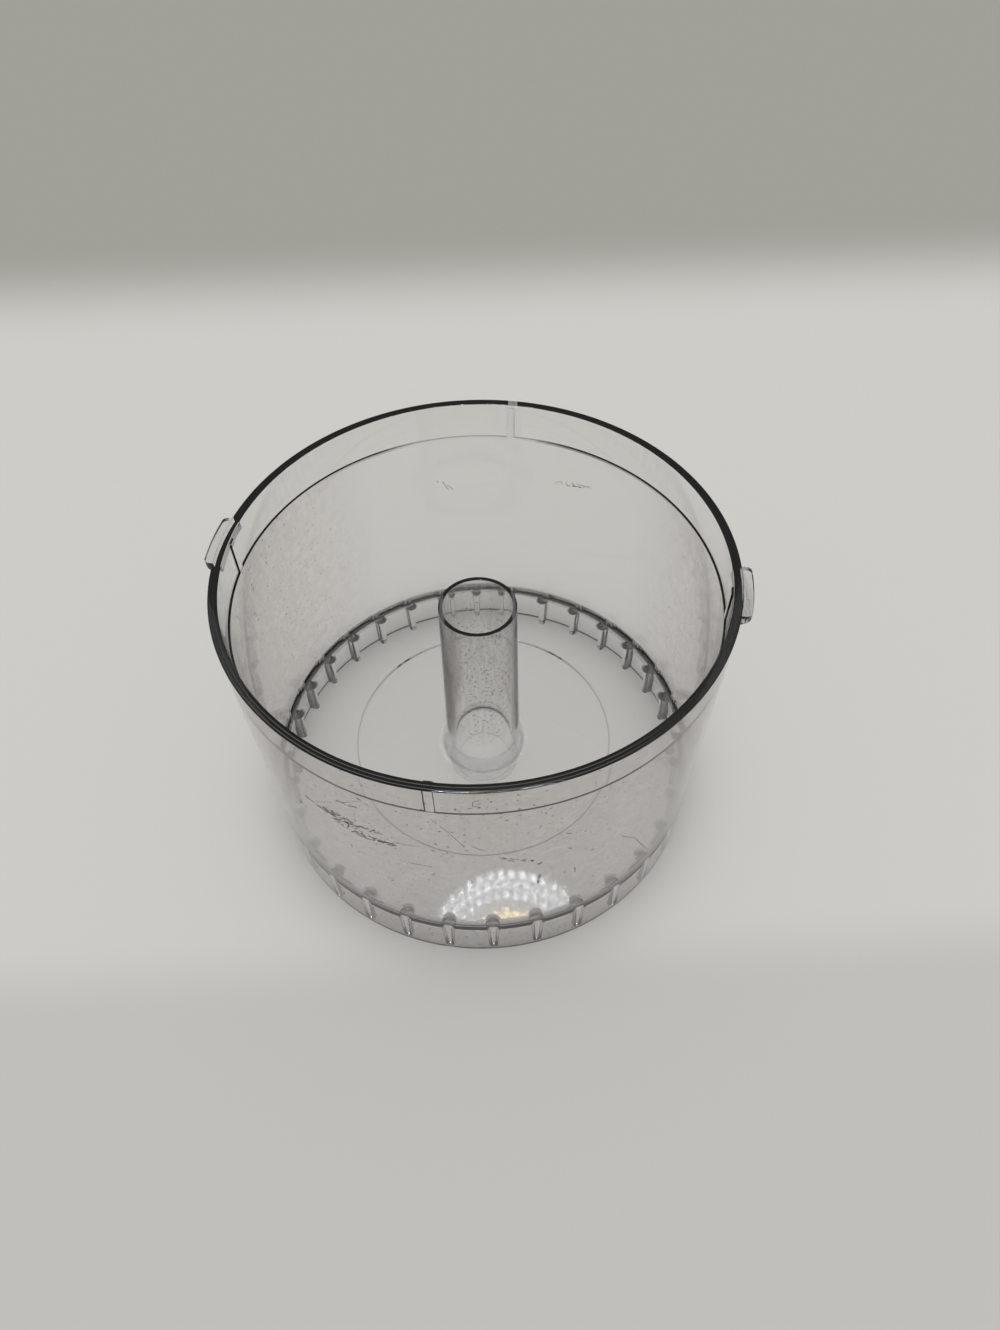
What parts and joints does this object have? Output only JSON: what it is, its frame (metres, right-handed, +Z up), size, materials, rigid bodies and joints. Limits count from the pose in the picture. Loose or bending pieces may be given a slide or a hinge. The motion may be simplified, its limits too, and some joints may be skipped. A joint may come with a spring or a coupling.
{
  "type": "food processor bowl",
  "caption": "Clear plastic work bowl with a slightly tapered round wall, a lid ledge and locking lugs at the rim, an open drive tube in the middle and locating posts under the floor.",
  "frame": {"origin": "centre of the foot ring, on the surface that the bowl stands on", "axes": "+Z up along the bowl's axis, X through the locking lugs"},
  "size_m": [0.1246, 0.12, 0.0823],
  "materials": {
    "clear_plastic": "clear, glossy, as moulded"
  },
  "bodies": {
    "root": {"work_bowl": "clear_plastic"}
  },
  "joints": []
}
